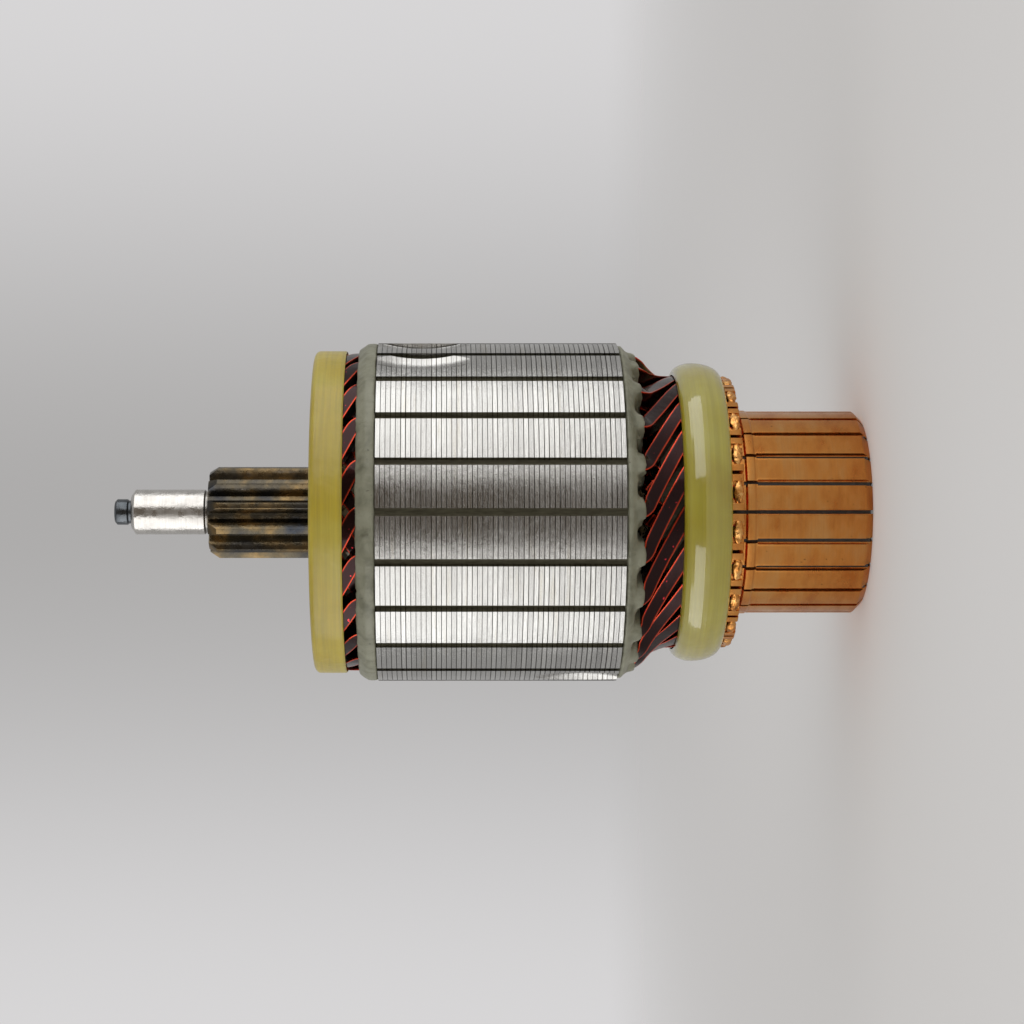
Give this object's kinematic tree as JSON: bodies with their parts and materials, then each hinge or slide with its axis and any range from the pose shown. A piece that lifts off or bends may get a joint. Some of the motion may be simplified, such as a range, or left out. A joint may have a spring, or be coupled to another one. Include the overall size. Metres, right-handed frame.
{
  "type": "motor armature",
  "caption": "Armature of a geared starter motor: shaft with sun gear, slotted laminated core, hairpin winding held by two bands, and a copper commutator with risers.",
  "frame": {"origin": "on the shaft axis, in the plane of the end faces of the commutator bars, on which the part stands", "axes": "+Z along the shaft from the commutator to the drive end, -Y through the opening of the first slot"},
  "size_m": [0.06, 0.06, 0.132],
  "materials": {
    "shaft_steel": "ground and hardened",
    "core_steel": "turned",
    "bush_steel": "machined",
    "bar_copper": "turned copper, worn by the brushes",
    "wire_copper": "enamelled copper wire, dark red",
    "weld_copper": "fused copper",
    "liner_paper": "olive grey insulating paper",
    "insulator_plastic": "grey green moulding",
    "drive_band_fibre": "glass fibre in yellow resin",
    "cord_band_fibre": "wound glass cord under clear yellow green resin",
    "hub_moulding": "black moulding compound"
  },
  "bodies": {
    "root": {"shaft": "shaft_steel", "laminated_core": "core_steel", "slot_liners": "liner_paper", "slot_separators": "liner_paper", "drive_end_insulator": "insulator_plastic", "commutator_end_insulator": "insulator_plastic", "layer_sleeve": "liner_paper", "drive_end_band": "drive_band_fibre", "commutator_end_band": "cord_band_fibre", "commutator_bush": "bush_steel", "commutator_moulding": "hub_moulding", "riser_welds": "weld_copper", "hairpin_01": "wire_copper", "hairpin_02": "wire_copper", "hairpin_03": "wire_copper", "hairpin_04": "wire_copper", "hairpin_05": "wire_copper", "hairpin_06": "wire_copper", "hairpin_07": "wire_copper", "hairpin_08": "wire_copper", "hairpin_09": "wire_copper", "hairpin_10": "wire_copper", "hairpin_11": "wire_copper", "hairpin_12": "wire_copper", "hairpin_13": "wire_copper", "hairpin_14": "wire_copper", "hairpin_15": "wire_copper", "hairpin_16": "wire_copper", "hairpin_17": "wire_copper", "hairpin_18": "wire_copper", "hairpin_19": "wire_copper", "hairpin_20": "wire_copper", "hairpin_21": "wire_copper", "hairpin_22": "wire_copper", "commutator_bar_01": "bar_copper", "commutator_bar_02": "bar_copper", "commutator_bar_03": "bar_copper", "commutator_bar_04": "bar_copper", "commutator_bar_05": "bar_copper", "commutator_bar_06": "bar_copper", "commutator_bar_07": "bar_copper", "commutator_bar_08": "bar_copper", "commutator_bar_09": "bar_copper", "commutator_bar_10": "bar_copper", "commutator_bar_11": "bar_copper", "commutator_bar_12": "bar_copper", "commutator_bar_13": "bar_copper", "commutator_bar_14": "bar_copper", "commutator_bar_15": "bar_copper", "commutator_bar_16": "bar_copper", "commutator_bar_17": "bar_copper", "commutator_bar_18": "bar_copper", "commutator_bar_19": "bar_copper", "commutator_bar_20": "bar_copper", "commutator_bar_21": "bar_copper", "commutator_bar_22": "bar_copper"}
  },
  "joints": []
}
